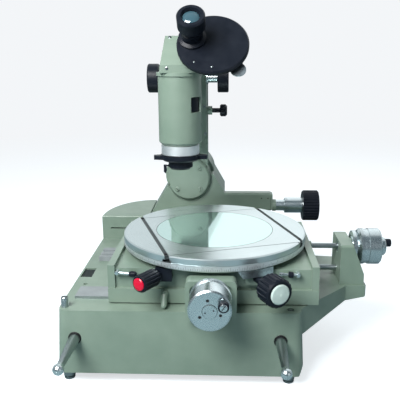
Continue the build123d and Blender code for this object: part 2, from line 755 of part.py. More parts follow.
def make_arm():
    tube = turned([
        (BORE_R, TUBE_LOW), (TUBE_R - 4, TUBE_LOW), (TUBE_R, TUBE_LOW + 4), (TUBE_R, TUBE_TOP),
        (BORE_R, TUBE_TOP)
    ])
    tube -= rod_z(WHEEL_Z - 10, WHEEL_Z + 10, 0, 0, WHEEL_R + GAP)
    web = prism_x([(0, 352), (90, 352), (CARRIER_FRONT, 334), (CARRIER_FRONT, 430), (90, 416), (0, 416)], -27, 27)
    web = fillet(web.edges().filter_by(Axis.Y), 8)
    web -= rod_z(300, 440, 0, 0, WHEEL_R + GAP + 1)
    body = tube + web
    # Window for the knurled wheel on the right of the tube
    body -= block(18.4, 40, -31, -5, WHEEL_Z - 11, WHEEL_Z + 11)
    return body


def make_wheel():
    return rod_z(WHEEL_Z - 10 + RUN, WHEEL_Z + 10 - RUN, 0, 0, WHEEL_R) - rod_z(300, 450, 0, 0, 18)


def seat_y(z):
    """Y of the inclined seat under the head at a height."""
    a = math.radians(HEAD_ANGLE)
    rise = z - (HEAD_Z - HEAD_THICK * math.sin(a))
    return HEAD_Y + HEAD_THICK * math.cos(a) + rise * math.tan(a)


def make_prism_housing():
    low, high = 440.0, 480.0
    body = prism_x([
        (seat_y(low), TUBE_TOP + 5), (28, TUBE_TOP + 5), (28, high - 6), (22, high),
        (seat_y(high), high), (seat_y(low), low)
    ], -27, 32)
    body &= prism_y([(-27, TUBE_TOP), (-20, high), (32, high), (32, TUBE_TOP)], -60, 90)
    return body + rod_z(TUBE_TOP, TUBE_TOP + 5, 0, 0, TUBE_R + 2)


# Goniometer head on the inclined seat

HEAD_X = 50.0
HEAD_Y = -37.5
HEAD_Z = 469.5
HEAD_THICK = 24.0
DISC_THICK = 8.0


def head_plane(across, up, out):
    """A place on the head: across and up in its face, out along the eyepiece axis."""
    return Pos(HEAD_X, HEAD_Y, HEAD_Z) * Rot(90 - HEAD_ANGLE, 0, 0) * Pos(across, up, out)


def make_head():
    r = HEAD_DIA / 2
    body = turned([
        (0, -HEAD_THICK), (36, -HEAD_THICK), (36, -DISC_THICK), (r - 1.5, -DISC_THICK), (r, -DISC_THICK + 1.5),
        (r, -2), (r - 2, 0), (0, 0)
    ])
    return head_plane(0, 0, 0) * body + make_mirror_hinge()


EYE_ACROSS = -28.5
EYE_UP = 8.0


def make_eyepiece():
    body = turned([
        (11, 0), (19.6, 0), (19.6, 3), (15.2, 5), (15.2, 17), (13.6, 18), (13.6, 33), (11, 33)
    ])
    for out in (7, 10, 13):
        body -= turned([(14.5, out), (16, out), (16, out + 1.2), (14.5, out + 1.2)])
    return head_plane(EYE_ACROSS, EYE_UP, 0) * body


def make_eyecup():
    cup = turned([
        (13.6 + RUN, 18.3), (15.6, 18.3), (16.4, 21), (19.4, 26), (19.4, 44), (17.5, 46), (13.5, 46),
        (11.5, 42), (11.5, 33.3), (13.6 + RUN, 33.3)
    ])
    return head_plane(EYE_ACROSS, EYE_UP, 0) * cup


MIRROR_ACROSS = 35.0
MIRROR_UP = -21.0
MIRROR_OUT = -14.0


def make_mirror():
    plate = Pos(0, -14, 0) * Cylinder(11, 2)
    arm = Pos(0, -3, 0) * Box(6, 6, 2)
    knuckle = Rot(0, 90, 0) * Cylinder(2, 8)
    pin_hole = Rot(0, 90, 0) * Cylinder(1 + RUN, 10)
    return head_plane(MIRROR_ACROSS, MIRROR_UP, MIRROR_OUT) * (plate + arm + knuckle - pin_hole)


def make_mirror_hinge():
    """Two cheeks behind the disc that hold the pin of the mirror."""
    lug = Pos(0, 0, 1.25) * Box(13, 6, 10.5) - Box(8.2, 12, 20)
    pin = Rot(0, 90, 0) * Cylinder(1, 13)
    return head_plane(MIRROR_ACROSS, MIRROR_UP, MIRROR_OUT) * (lug + pin)


# Lens barrel, eared ring and objective

EAR_LOW = 298.5
EAR_TOP = 307.0
LENS_LOW = 285.5


def make_lens_barrel():
    r = 28.6
    return turned([
        (18, EAR_TOP + GAP), (r - 1.5, EAR_TOP + GAP), (r, EAR_TOP + 2), (r, TUBE_LOW - 1), (r - 3, TUBE_LOW),
        (BORE_R - RUN, TUBE_LOW), (BORE_R - RUN, 360), (18, 360)
    ])


def make_ear_ring():
    ring = turned([(18.5, EAR_LOW), (26, EAR_LOW), (30, EAR_LOW + 3), (30, EAR_TOP), (18.5, EAR_TOP)])
    left = prism_z([(-24, -9), (-40, -5), (-41, 4), (-24, 9)], EAR_LOW + 1, EAR_TOP - 1.5)
    right = prism_z([(24, -9), (40, -5), (41, 4), (24, 9)], EAR_LOW + 2, EAR_TOP - 0.5)
    return ring + left + right - rod_z(290, 310, 0, 0, 18.5)


def make_objective():
    body = turned([
        (9, LENS_LOW), (15, LENS_LOW), (18.3, LENS_LOW + 3), (18.3, LENS_LOW + 9), (17.9, LENS_LOW + 9),
        (17.9, 330), (9, 330)
    ])
    # Iris lever on the left
    blade = prism_y([(-26, 291), (-21.5, 291), (-21.5, 282), (-23, 277), (-26, 280)], -0.8, 0.8)
    return body + rod_x(-24, -17, 0, 289.5, 1.2) + blade


MAKERS = {
    "base_casting": make_base,
    "condenser_ring": make_condenser_ring,
    "x_ways": make_ways,
    "x_slide": make_x_slide,
    "y_slide": make_y_slide,
    "pinion_bracket": make_pinion_bracket,
    "stage_knob": make_stage_knob,
    "stage_knob_cap": make_stage_knob_cap,
    "vernier_arc": make_vernier,
    "clamp_bracket": make_clamp_bracket,
    "clamp_handle": make_clamp_handle,
    "clamp_cap": make_clamp_cap,
    "rotary_stage": make_stage,
    "stage_gear": make_gear,
    "stage_glass": make_glass,
    "y_bracket": make_y_bracket,
    "y_barrel": make_y_barrel,
    "y_drum": make_y_drum,
    "y_crank": make_y_crank,
    "y_spindle": make_y_spindle,
    "x_block": make_x_block,
    "x_barrel": make_x_barrel,
    "x_drum": make_x_drum,
    "x_crank": make_x_crank,
    "x_spindle": make_x_spindle,
    "rest_rod": make_rest_rod,
    "slide_peg": make_peg,
    "rear_housing": make_housing,
    "stand": make_stand,
    "pivot_shaft": make_pivot_shaft,
    "column": make_column,
    "pivot_cover": make_pivot_cover,
    "cover_screws": make_cover_screws,
    "tilt_arm": make_tilt_arm,
    "tilt_sleeve": make_tilt_sleeve,
    "tilt_drum": make_tilt_drum,
    "tilt_knob": make_tilt_knob,
    "focus_carrier": make_carrier,
    "focus_rack": make_rack,
    "focus_axle": make_focus_axle,
    "focus_knobs": make_focus_knobs,
    "focus_hubs": make_focus_hubs,
    "focus_clamp": make_focus_clamp,
    "tube_arm": make_arm,
    "prism_housing": make_prism_housing,
    "goniometer_head": make_head,
    "eyepiece": make_eyepiece,
    "eyecup": make_eyecup,
    "lens_barrel": make_lens_barrel,
    "ear_ring": make_ear_ring,
    "objective": make_objective,
    "reading_mirror": make_mirror,
    "knurled_wheel": make_wheel,
}

PLACED = {
    "foot_left": make_foot(FOOT_LEFT_X, FOOT_FRONT_Y, DECK + 15.5),
    "foot_right": make_foot(FOOT_RIGHT_X, FOOT_FRONT_Y, DECK - 1),
    "feet_back": make_rear_feet(),
    "carry_rod_left": make_carry_rod(ROD_LEFT),
    "carry_rod_right": make_carry_rod(ROD_RIGHT),
    "lever_left": make_lever(X_LEFT + RAIL + 4, 158.5, -5, LEFT_ARM),
    "lever_right": make_lever(X_RIGHT - RAIL - 20, 158, 178, RIGHT_ARM),
}


def save(name, shape):
    export_step(Pos(-MIDDLE_X, -MIDDLE_Y, 0) * shape, f"parts/{name}.step")


for name, maker in MAKERS.items():
    save(name, maker())
for name, shape in PLACED.items():
    save(name, shape)
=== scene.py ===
import json
import math

import bmesh
import bpy
from mathutils import Matrix, Vector


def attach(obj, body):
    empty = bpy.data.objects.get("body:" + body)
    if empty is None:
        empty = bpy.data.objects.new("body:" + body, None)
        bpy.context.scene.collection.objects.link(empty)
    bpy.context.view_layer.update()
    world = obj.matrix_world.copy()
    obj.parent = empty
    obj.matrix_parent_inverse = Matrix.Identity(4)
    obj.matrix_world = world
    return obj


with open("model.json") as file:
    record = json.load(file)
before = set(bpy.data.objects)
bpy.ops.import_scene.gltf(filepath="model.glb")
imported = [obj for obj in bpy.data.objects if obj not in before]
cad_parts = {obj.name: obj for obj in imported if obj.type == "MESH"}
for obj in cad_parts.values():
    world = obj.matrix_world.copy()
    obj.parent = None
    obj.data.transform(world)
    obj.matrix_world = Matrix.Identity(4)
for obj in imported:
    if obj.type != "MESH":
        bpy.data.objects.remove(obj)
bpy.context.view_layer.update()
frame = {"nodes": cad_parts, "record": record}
nodes = frame["nodes"]

MM = 0.001

# Places and sizes in millimetres, as in the part: X and Y from the optical axis, Z from the bench.
# MIDDLE is the middle of the part's outline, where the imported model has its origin.
MIDDLE = Vector((77.75, 39.1, 0))
STAGE_X = 51.3
STAGE_TOP = 190
STAGE_R = 140
STAGE_TURN = math.radians(18.3)
RIM_LOW_TOP = 179.5
SLOT_PLACES = (-98.2, 104.1)
SLOT_HALF_WIDTH = 2.75
GROOVE_PLACES = (-99.3, 86.2)
DRUM_R = 27.75
TILT_DRUM_R = 14.2
HEAD_MIDDLE = Vector((50, -37.5, 469.5))
HEAD_TILT = math.radians(40)
EYE_ACROSS = -28.5
EYE_UP = 8
FOOT_Y = -122
FOOT_LEFT_X = -157
FOOT_RIGHT_X = 160
ROD_LEFT_X = -142
ROD_RIGHT_X = 146
ROD_BALL_Y = -211
BUSH_Y = -137.2
BUSH_Z = 70
DECK_SLOT = (-161.9, -144.1, -12.9, 24.9)
DECK_HOLE = (-147, -41)
VERNIER_R = 139.5
VERNIER_TOP = 170.4
VERNIER_START = -73.5
VERNIER_STEP = 0.63
Y_CRANK = (67.3, -209, 157.5)
Y_CRANK_LONG = 10.5
Y_CRANK_PIN_END = -211.2
LEFT_LEVER_END = -67
RIGHT_LEVER_COLLAR = (155, 164.5)
COVER_FRONT = 175
COVER_Z = 228
COVER_SCREW_CIRCLE = 28.5
TILT_ARM_FRONT = 186
WAY_TOP = 114.9
BEVEL_ANGLE = math.radians(38)
NODE_SHARP_ANGLE = math.radians(33)
PIECE_SHARP_ANGLE = math.radians(35)

FRONT = (0, -1, 0)
UP = (0, 0, 1)
RIGHT = (1, 0, 0)
BACK_UP = (0, 1, 0)


def at(x, y, z):
    """Millimetres from the optical axis on the bench, as a point of the scene in metres."""
    return (Vector((x, y, z)) - MIDDLE) * MM


# Materials

def new_material(name):
    """A material with one principled shader."""
    mat = bpy.data.materials.new(name)
    mat.use_nodes = True
    tree = mat.node_tree
    tree.nodes.clear()
    out = tree.nodes.new("ShaderNodeOutputMaterial")
    shader = tree.nodes.new("ShaderNodeBsdfPrincipled")
    tree.links.new(shader.outputs[0], out.inputs[0])
    return mat, tree, shader


def noise(tree, scale, detail=3.0, rough=0.55, stretch=None):
    """Noise in the object's own coordinates, with a factor for each axis if asked."""
    coord = tree.nodes.new("ShaderNodeTexCoord")
    tex = tree.nodes.new("ShaderNodeTexNoise")
    tex.inputs["Scale"].default_value = scale
    tex.inputs["Detail"].default_value = detail
    tex.inputs["Roughness"].default_value = rough
    source = coord.outputs["Object"]
    if stretch:
        mapping = tree.nodes.new("ShaderNodeMapping")
        mapping.inputs["Scale"].default_value = stretch
        tree.links.new(source, mapping.inputs["Vector"])
        source = mapping.outputs[0]
    tree.links.new(source, tex.inputs["Vector"])
    return tex


def ramp(tree, source, low, high, a, b):
    """A value that goes from a to b while the source goes from low to high."""
    node = tree.nodes.new("ShaderNodeMapRange")
    node.inputs["From Min"].default_value = low
    node.inputs["From Max"].default_value = high
    node.inputs["To Min"].default_value = a
    node.inputs["To Max"].default_value = b
    tree.links.new(source, node.inputs["Value"])
    return node.outputs[0]


def blend_colour(tree, fac, a, b):
    """A colour between a and b, led by a factor."""
    node = tree.nodes.new("ShaderNodeMix")
    node.data_type = "RGBA"
    node.inputs[6].default_value = (*a, 1)
    node.inputs[7].default_value = (*b, 1)
    tree.links.new(fac, node.inputs[0])
    return node.outputs[2]


def bump(tree, shader, height, strength, distance):
    """Fine relief on a shader; the distance is in metres."""
    node = tree.nodes.new("ShaderNodeBump")
    node.inputs["Strength"].default_value = strength
    node.inputs["Distance"].default_value = distance
    tree.links.new(height, node.inputs["Height"])
    tree.links.new(node.outputs[0], shader.inputs["Normal"])


def mottle(tree, shader, tone, dark, light, low=0.3, high=0.7):
    """A base colour between two tones, led by a texture."""
    colour = blend_colour(tree, ramp(tree, tone.outputs[0], low, high, 0, 1), dark, light)
    tree.links.new(colour, shader.inputs["Base Color"])


def uneven(tree, shader, texture, span, rough):
    """A roughness between two values, led by a texture between the two values of span."""
    tree.links.new(ramp(tree, texture.outputs[0], *span, *rough), shader.inputs["Roughness"])


def shade(colour, share):
    """The same colour, darker."""
    return tuple(c * share for c in colour)


def enamel(name, dark, light, rough=0.42):
    """Oven enamel with a faint orange peel and slow changes of tone."""
    mat, tree, shader = new_material(name)
    mottle(tree, shader, noise(tree, 14, 4), dark, light, 0.35, 0.65)
    uneven(tree, shader, noise(tree, 45, 5), (0.3, 0.7), (rough - 0.06, rough + 0.08))
    shader.inputs["Specular IOR Level"].default_value = 0.6
    shader.inputs["Coat Weight"].default_value = 0.35
    shader.inputs["Coat Roughness"].default_value = 0.42
    peel = noise(tree, 620, 2)
    bump(tree, shader, peel.outputs[0], 0.35, 0.00012)
    return mat


def metal(name, colour, rough, stretch=None, scale=900, strength=0.2):
    """Bright metal with fine tool marks, which stretch draws out along one way."""
    mat, tree, shader = new_material(name)
    shader.inputs["Metallic"].default_value = 1.0
    mottle(tree, shader, noise(tree, 30, 3), shade(colour, 0.88), colour)
    marks = noise(tree, scale, 2, 0.6, stretch)
    uneven(tree, shader, marks, (0.25, 0.75), (rough - 0.06, rough + 0.1))
    bump(tree, shader, marks.outputs[0], strength, 0.00005)
    return mat


def turned_metal(name, colour, rough, centre):
    """Bright metal with fine rings round an upright axis."""
    mat, tree, shader = new_material(name)
    shader.inputs["Metallic"].default_value = 1.0
    coord = tree.nodes.new("ShaderNodeTexCoord")
    mapping = tree.nodes.new("ShaderNodeMapping")
    mapping.inputs["Location"].default_value = (-centre.x, -centre.y, 0)
    tree.links.new(coord.outputs["Object"], mapping.inputs["Vector"])
    flat = tree.nodes.new("ShaderNodeSeparateXYZ")
    tree.links.new(mapping.outputs[0], flat.inputs[0])
    join = tree.nodes.new("ShaderNodeCombineXYZ")
    tree.links.new(flat.outputs[0], join.inputs[0])
    tree.links.new(flat.outputs[1], join.inputs[1])
    length = tree.nodes.new("ShaderNodeVectorMath")
    length.operation = "LENGTH"
    tree.links.new(join.outputs[0], length.inputs[0])
    ring = tree.nodes.new("ShaderNodeTexNoise")
    ring.noise_dimensions = "1D"
    ring.inputs["Scale"].default_value = 1400
    ring.inputs["Detail"].default_value = 3
    tree.links.new(length.outputs["Value"], ring.inputs["W"])
    mottle(tree, shader, noise(tree, 9, 3), shade(colour, 0.9), colour)
    uneven(tree, shader, ring, (0.25, 0.75), (rough - 0.05, rough + 0.1))
    bump(tree, shader, ring.outputs[0], 0.25, 0.00005)
    return mat


def plastic(name, colour, rough, gloss=0.5):
    """Plastic, rubber or ink with a fine grain."""
    mat, tree, shader = new_material(name)
    shader.inputs["Specular IOR Level"].default_value = gloss
    tone = noise(tree, 60, 3)
    mottle(tree, shader, tone, shade(colour, 0.8), colour)
    uneven(tree, shader, tone, (0.3, 0.7), (rough - 0.05, rough + 0.08))
    grain = noise(tree, 500, 3)
    bump(tree, shader, grain.outputs[0], 0.12, 0.0001)
    return mat


def glass(name, tint, rough, clear, index, mirror=0.0):
    """Tinted glass; clear and mirror are how much of it transmits and reflects."""
    mat, tree, shader = new_material(name)
    shader.inputs["Base Color"].default_value = (*tint, 1)
    shader.inputs["Metallic"].default_value = mirror
    shader.inputs["Transmission Weight"].default_value = clear
    shader.inputs["IOR"].default_value = index
    uneven(tree, shader, noise(tree, 25, 4), (0.4, 0.8), (rough, rough + 0.05))
    return mat


# One finish for each material slot of the part, and then those that only this file uses
MATS = {
    "paint": enamel("paint", (0.165, 0.232, 0.182), (0.205, 0.275, 0.218)),
    "stage_steel": turned_metal("stage_steel", (0.74, 0.82, 0.83), 0.3, at(STAGE_X, 0, STAGE_TOP)),
    "steel": metal("steel", (0.36, 0.41, 0.42), 0.3, stretch=(1, 12, 12)),
    "chrome": metal("chrome", (0.72, 0.8, 0.82), 0.24, stretch=(14, 1, 1), scale=700, strength=0.1),
    "black": plastic("black", (0.007, 0.010, 0.017), 0.38, gloss=0.22),
    "white_cap": plastic("white_cap", (0.6, 0.72, 0.67), 0.3),
    "red_cap": plastic("red_cap", (0.62, 0.0, 0.03), 0.28),
    "glass": glass("glass", (0.64, 0.86, 0.82), 0.05, clear=0.3, index=1.8, mirror=0.85),
    "mirror": metal("mirror", (0.62, 0.7, 0.74), 0.3, scale=60, strength=0.02),
}
# A near black for dark parts and joint lines, also used for the painted shade in screw slots and holes.
dark = plastic("dark", (0.006, 0.007, 0.008), 0.6)
ink = plastic("ink", (0.012, 0.016, 0.02), 0.5)
# A dark material that paints the shade in the deck's slot and hole and in the T-slots of the stage.
painted_recess_shade = plastic("painted_recess_shade", (0.03, 0.04, 0.042), 0.45)
way_top = plastic("way_top", (0.27, 0.3, 0.31), 0.5, gloss=0.3)
lens = glass("lens", (0.05, 0.11, 0.14), 0.08, clear=0.15, index=1.7)
barrel_metal = metal("barrel_metal", (0.93, 0.96, 0.97), 0.5, stretch=(1, 1, 14), scale=500, strength=0.1)
# A lighter, rougher copy of the stage steel for the lower band of the rim, a painted highlight for the
# bright reflection that band shows.
rim_painted_highlight = metal("rim_painted_highlight", (0.9, 0.95, 0.96), 0.5, stretch=(1, 1, 14), scale=500, strength=0.1)

SLOTS = {entry["node"]: entry["material_slot"] for entry in frame["record"]["subparts"]}


def soften(obj, width):
    """Rounded edges and smooth curves, as a cast or turned piece has."""
    edge = obj.modifiers.new("edge", "BEVEL")
    edge.width = width * MM
    edge.segments = 2
    edge.limit_method = "ANGLE"
    edge.angle_limit = BEVEL_ANGLE
    edge.use_clamp_overlap = True
    edge.harden_normals = False
    for poly in obj.data.polygons:
        poly.use_smooth = True
    obj.data.set_sharp_from_angle(angle=NODE_SHARP_ANGLE)


# Widths of the rounded edges in millimetres, for the castings and the larger pieces
EDGES = {"base_casting": 2.2, "rear_housing": 2.0, "stand": 1.6, "column": 1.2, "focus_carrier": 1.2,
         "tube_arm": 0.8, "prism_housing": 1.2, "x_block": 1.2, "y_bracket": 1.0, "x_slide": 0.9,
         "goniometer_head": 0.8, "tilt_arm": 1.0}
SMALL_EDGE = 0.3

for name, obj in nodes.items():
    obj.data.materials.clear()
    obj.data.materials.append(MATS[SLOTS[name]])
    soften(obj, EDGES.get(name, SMALL_EDGE))


def second_finish(name, mat, test):
    """Give the faces of a CAD node that pass a test another material."""
    mesh = nodes[name].data
    mesh.materials.append(mat)
    place = nodes[name].matrix_world
    for poly in mesh.polygons:
        point = (place @ poly.center) / MM + MIDDLE
        if test(point):
            poly.material_index = len(mesh.materials) - 1


def from_stage_axis(point):
    """How far a point is from the axis of the stage, in millimetres."""
    return math.hypot(point.x - STAGE_X, point.y)


# The lower band of the rim takes the lighter copy of the steel as a painted highlight.
second_finish("rotary_stage", rim_painted_highlight, lambda p: p.z < RIM_LOW_TOP and from_stage_axis(p) > STAGE_R - 3)
second_finish("carry_rod_left", MATS["chrome"], lambda p: p.y < ROD_BALL_Y)
second_finish("carry_rod_right", MATS["chrome"], lambda p: p.y < ROD_BALL_Y)
second_finish("lever_left", MATS["black"], lambda p: p.x > LEFT_LEVER_END)
second_finish("lever_right", MATS["black"], lambda p: RIGHT_LEVER_COLLAR[0] < p.x < RIGHT_LEVER_COLLAR[1])
second_finish("y_crank", MATS["chrome"], lambda p: p.y > Y_CRANK_PIN_END)
second_finish("x_ways", way_top, lambda p: p.z > WAY_TOP)
second_finish("lens_barrel", barrel_metal, lambda p: True)
second_finish("cover_screws", MATS["paint"], lambda p: True)


# Helpers for the fine pieces

# Screwdriver slots stand at odd angles, in radians
FIRST_SCREW = 0.6
NEXT_SCREW = 0.9


def finish_piece(name, bm, mat, body, smooth=True):
    """Put a finished bmesh into the scene on a body of the frame."""
    mesh = bpy.data.meshes.new(name)
    bmesh.ops.recalc_face_normals(bm, faces=bm.faces)
    bm.to_mesh(mesh)
    bm.free()
    obj = bpy.data.objects.new(name, mesh)
    bpy.context.scene.collection.objects.link(obj)
    mesh.materials.append(mat)
    if smooth:
        for poly in mesh.polygons:
            poly.use_smooth = True
        mesh.set_sharp_from_angle(angle=PIECE_SHARP_ANGLE)
    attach(obj, body)


def look(position, right, up, back):
    """A matrix from a place and its three axes."""
    turn = Matrix((right, up, back)).transposed().to_4x4()
    turn.translation = position
    return turn


def shift(x, y):
    """A move in millimetres across the Z of a frame."""
    return Matrix.Translation((x * MM, y * MM, 0))


def aim(origin, axis, up=(0, 0, 1)):
    """A frame at a point with its Z along axis and its Y as near to up as it can be."""
    z = Vector(axis).normalized()
    y = Vector(up) - Vector(up).dot(z) * z
    if y.length < 1e-4:
        y = Vector((0, 1, 0)) - z.y * z
    y.normalize()
    return look(origin, y.cross(z), y, z)


def lathe(bm, points, place, steps=64):
    """Revolve (radius, height) points in millimetres about the Z of a frame."""
    rows = []
    for r, h in points:
        if r < 1e-6:
            rows.append([bm.verts.new(place @ Vector((0, 0, h * MM)))])
            continue
        row = []
        for i in range(steps):
            a = 2 * math.pi * i / steps
            point = Vector((r * math.cos(a) * MM, r * math.sin(a) * MM, h * MM))
            row.append(bm.verts.new(place @ point))
        rows.append(row)
    for low, high in zip(rows, rows[1:]):
        for i in range(steps):
            j = (i + 1) % steps
            if len(low) == 1:
                bm.faces.new((low[0], high[i], high[j]))
            elif len(high) == 1:
                bm.faces.new((low[i], low[j], high[0]))
            else:
                bm.faces.new((low[i], low[j], high[j], high[i]))


def bar(bm, place, x0, x1, y0, y1, z0, z1):
    """A box in the millimetres of a frame."""
    corners = []
    for x in (x0, x1):
        for y in (y0, y1):
            for z in (z0, z1):
                corners.append(bm.verts.new(place @ Vector((x * MM, y * MM, z * MM))))
    for face in ((0, 1, 3, 2), (4, 6, 7, 5), (0, 4, 5, 1), (2, 3, 7, 6), (0, 2, 6, 4), (1, 5, 7, 3)):
        bm.faces.new([corners[i] for i in face])


def turned_piece(name, points, place, mat, body, steps=64):
    """A piece with one profile revolved about the Z of a frame."""
    bm = bmesh.new()
    lathe(bm, points, place, steps)
    finish_piece(name, bm, mat, body)


def slotted_screws(name, spots, axis, radius, body, turn=FIRST_SCREW):
    """Cheese-head screws; each spot is the point on the surface under the head."""
    bm = bmesh.new()
    slot_shade_bm = bmesh.new()
    r = radius
    head = [(0, 0.9), (r * 0.75, 0.9), (r * 0.95, 0.7), (r, 0.4), (r, -0.3)]
    for i, spot in enumerate(spots):
        place = aim(at(*spot), axis)
        lathe(bm, head, place, 28)
        spin = place @ Matrix.Rotation(turn + NEXT_SCREW * i, 4, "Z")
        # A dark bar in each head paints the shade in its screwdriver slot.
        bar(slot_shade_bm, spin, -r * 0.93, r * 0.93, -0.32, 0.32, 0.55, 0.93)
    finish_piece(name, bm, MATS["steel"], body)
    finish_piece(name + "_slots", slot_shade_bm, dark, body, smooth=False)


def ticks(name, place, radius, count, low, height, body, wide=0.28):
    """Engraved lines round a drum or the stage, every fifth one longer, as a thin inlay."""
    bm = bmesh.new()
    for i in range(count):
        tall = height if i % 5 == 0 else height * 0.6
        spin = place @ Matrix.Rotation(math.radians(360 * i / count), 4, "Z")
        bar(bm, spin, radius - 0.15, radius + 0.03, -wide / 2, wide / 2, low, low + tall)
    finish_piece(name, bm, ink, body, smooth=False)


# Fine pieces of the base

def foot_thread(name, x, low, high, radius, body):
    """The threaded end of a front foot above the deck."""
    bm = bmesh.new()
    points = []
    z = low
    while z < high:
        points += [(radius, z), (radius + 0.55, z + 0.35), (radius + 0.55, z + 0.5), (radius, z + 0.85)]
        z += 1.25
    lathe(bm, points, aim(at(x, FOOT_Y, 0), UP), 40)
    finish_piece(name, bm, MATS["chrome"], body)


def foot_slot_shade(side, x, top):
    """Painted shade of the screwdriver slot in the top of a front foot, as a dark bar."""
    bm = bmesh.new()
    bar(bm, aim(at(x, FOOT_Y, top), UP), -4, 4, -0.6, 0.6, 0.2, 0.55)
    finish_piece(f"foot_slot_shade_{side}", bm, dark, f"foot_{side}", smooth=False)


def rod_bush(side, x):
    """The dark bush round a carrying rod where it leaves the front wall."""
    ring = [(7.5, 0.5), (8.9, 0.5), (9.3, 0.1), (9.3, -5), (7.5, -5), (7.5, 0.5)]
    turned_piece(f"rod_bush_{side}", ring, aim(at(x, BUSH_Y, BUSH_Z), FRONT), dark, "base", steps=48)


def deck_floor_shade():
    """Painted shade on the floors of the slot and the hole in the left deck, with cross bars in the slot in
    the same dark material.
    """
    ground = aim(at(0, 0, 0), UP, BACK_UP)
    bm = bmesh.new()
    bar(bm, ground, *DECK_SLOT, 105.05, 106.4)
    for i in range(9):
        bar(bm, ground, -161, -145, -10.4 + 4 * i, -9.2 + 4 * i, 106.4, 109.2)
    lathe(bm, [(0, 104), (3.4, 104), (3.4, 103.2), (0, 103.2)], ground @ shift(*DECK_HOLE), 24)
    finish_piece("deck_floor_shade", bm, painted_recess_shade, "base", smooth=False)


foot_thread("foot_thread_left", FOOT_LEFT_X, 111.5, 124.5, 4.6, "foot_left")
foot_slot_shade("left", FOOT_LEFT_X, 126.1)
foot_slot_shade("right", FOOT_RIGHT_X, 109.7)
rod_bush("left", ROD_LEFT_X)
rod_bush("right", ROD_RIGHT_X)
deck_floor_shade()


# Optics that close the barrels

HEAD_NORMAL = Vector((0, -math.cos(HEAD_TILT), math.sin(HEAD_TILT)))
HEAD_RISE = Vector((0, math.sin(HEAD_TILT), math.cos(HEAD_TILT)))
EYE = aim(at(*(HEAD_MIDDLE + EYE_ACROSS * Vector(RIGHT) + EYE_UP * HEAD_RISE)), HEAD_NORMAL)
OPTICAL_AXIS = aim(at(0, 0, 0), UP)
turned_piece("eye_lens", [(0, 43.6), (5, 43.2), (9, 42.2), (11.2, 41), (11.2, 39), (0, 39)],
             EYE, lens, "eyecup")
turned_piece("eye_stop", [(0, 20), (10.9, 20), (10.9, 19), (0, 19)], EYE, dark, "microscope")
turned_piece("objective_lens", [(0, 286.3), (5, 286.8), (8.9, 288.2), (8.9, 291), (0, 291)],
             OPTICAL_AXIS, lens, "objective")
turned_piece("condenser_lens", [(0, 111.4), (8, 110.6), (16, 108), (20.9, 104), (20.9, 100), (0, 100)],
             OPTICAL_AXIS, lens, "base")


# Graduations and the fine marks of the drums, the vernier and the glass

Y_MIC = aim(at(50, -165, 148), FRONT)
X_MIC = aim(at(273.5, 4, 161.6), RIGHT)
TILT = aim(at(178.1, 196, 174.2), RIGHT)
STAGE = aim(at(STAGE_X, 0, 0), UP, BACK_UP)
ticks("y_drum_lines", Y_MIC, DRUM_R, count=100, low=3.4, height=5.4, body="y_drum")
ticks("x_drum_lines", X_MIC, DRUM_R, count=100, low=3.4, height=5.4, body="x_drum")
ticks("tilt_drum_lines", TILT, TILT_DRUM_R, count=60, low=1.6, height=5, body="tilt_drum", wide=0.2)
ticks("stage_lines", STAGE, STAGE_R, count=360, low=172.9, height=5.4, body="stage", wide=0.3)


def vernier_lines():
    """Lines on the outer face of the fixed arc under the rim."""
    bm = bmesh.new()
    for i in range(31):
        long = 6 if i % 5 == 0 else 4
        spin = STAGE @ Matrix.Rotation(math.radians(VERNIER_START + VERNIER_STEP * i), 4, "Z")
        bar(bm, spin, VERNIER_R - 0.15, VERNIER_R + 0.04, -0.18, 0.18, VERNIER_TOP - long, VERNIER_TOP)
    finish_piece("vernier_lines", bm, ink, "y_slide", smooth=False)


def y_drum_hole_shade():
    """Painted shade in two small holes in the hub of the Y drum and three in its face, as dark discs and
    plugs.
    """
    bm = bmesh.new()
    for x, y in ((-5.6, -1.2), (5, 1.9)):
        lathe(bm, [(0, 45.54), (1.1, 45.54), (1.1, 45.1)], Y_MIC @ shift(x, y), 20)
    for angle in (100, 213, -21):
        a = math.radians(angle)
        spot = shift(14.6 * math.cos(a), 14.6 * math.sin(a))
        lathe(bm, [(0, 43.3), (2.09, 43.3), (2.09, 40.2), (0, 40.2)], Y_MIC @ spot, 24)
    finish_piece("y_drum_hole_shade", bm, dark, "y_drum")


def thin_ring(name, place, r, height, wide, body):
    """A thin inlaid ring on a face square to the Z of a frame."""
    inner = r - wide / 2
    outer = r + wide / 2
    points = [(inner, height - 0.2), (inner, height), (outer, height), (outer, height - 0.2)]
    turned_piece(name, points, place, dark, body, steps=96)


def y_crank_screw():
    """Slotted screw in the end of the crank knob, with a dark bar that paints the shade in its slot."""
    x, y, z = Y_CRANK
    turned_piece("y_crank_screw", [(0, 10.5), (4.2, 10.5), (4.8, 10.1), (4.8, 9), (0, 9)],
                 aim(at(x, y, z), FRONT), MATS["chrome"], "y_crank", 32)
    bm = bmesh.new()
    face = aim(at(x, y - Y_CRANK_LONG, z), FRONT)
    bar(bm, face @ Matrix.Rotation(math.radians(55), 4, "Z"), -4.2, 4.2, -0.5, 0.5, -0.4, 0.03)
    finish_piece("y_crank_screw_slot_shade", bm, dark, "y_crank", smooth=False)


vernier_lines()
y_drum_hole_shade()
thin_ring("y_drum_hub_ring", Y_MIC, 9.5, 44.04, 0.6, "y_drum")
thin_ring("glass_edge", STAGE, 90.1, 190.03, 0.7, "stage")
y_crank_screw()


# T-slots and grooves of the stage, which stands turned

TURNED_STAGE = STAGE @ Matrix.Rotation(STAGE_TURN, 4, "Z")


def slot_half_length(offset):
    """Half the length of a slot that runs across the stage at this distance from its middle."""
    return math.sqrt((STAGE_R - 0.7) ** 2 - (abs(offset) + 2.8) ** 2)


